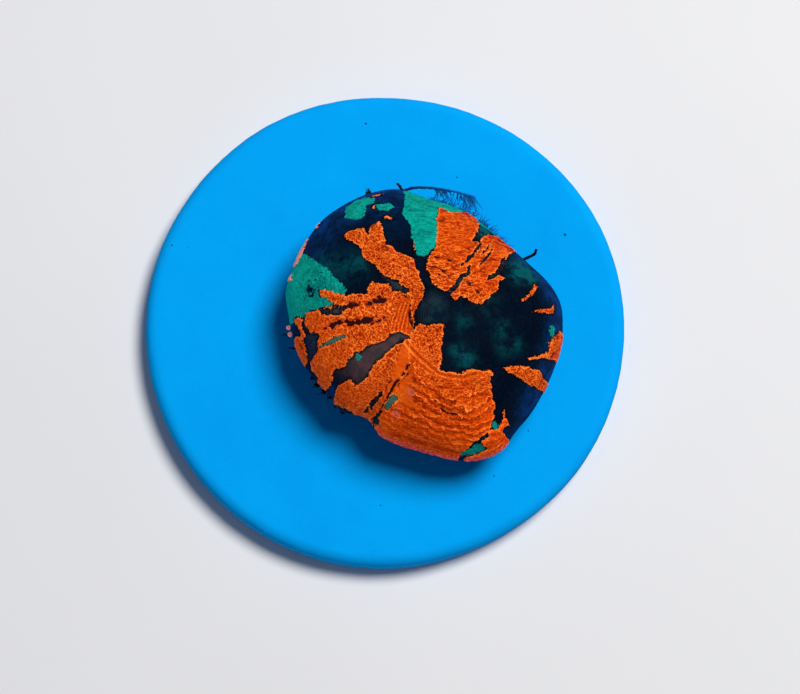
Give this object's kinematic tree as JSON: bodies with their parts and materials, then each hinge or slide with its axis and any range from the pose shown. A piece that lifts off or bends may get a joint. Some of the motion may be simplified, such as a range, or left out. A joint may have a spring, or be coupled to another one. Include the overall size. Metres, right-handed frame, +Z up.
{
  "type": "scolymia coral fragment on a frag disc",
  "caption": "Domed fleshy stony coral with jagged orange, green and navy sectors, set off centre on a round blue ceramic disc with bits of algae at its rim.",
  "frame": {"origin": "centre of the disc's flat underside", "axes": "+Z up through the disc and the coral; -Y towards the side with the broad orange sector; +X right"},
  "size_m": [0.076, 0.076, 0.0263],
  "materials": {
    "ceramic_disc": "matte cast ceramic, azure as seen under blue reef light",
    "coral_flesh": "moist wrinkled flesh over stony skeleton, orange with green and navy sectors",
    "dark_algae": "fine dark filaments"
  },
  "bodies": {
    "root": {"ceramic_disc": "ceramic_disc", "scolymia_coral": "coral_flesh", "algae_tuft": "dark_algae", "algae_fringe": "dark_algae", "algae_strand": "dark_algae", "algae_twig": "dark_algae", "algae_frond": "dark_algae", "algae_sprout": "dark_algae", "algae_spine_upper": "dark_algae", "algae_spine_lower": "dark_algae"}
  },
  "joints": []
}
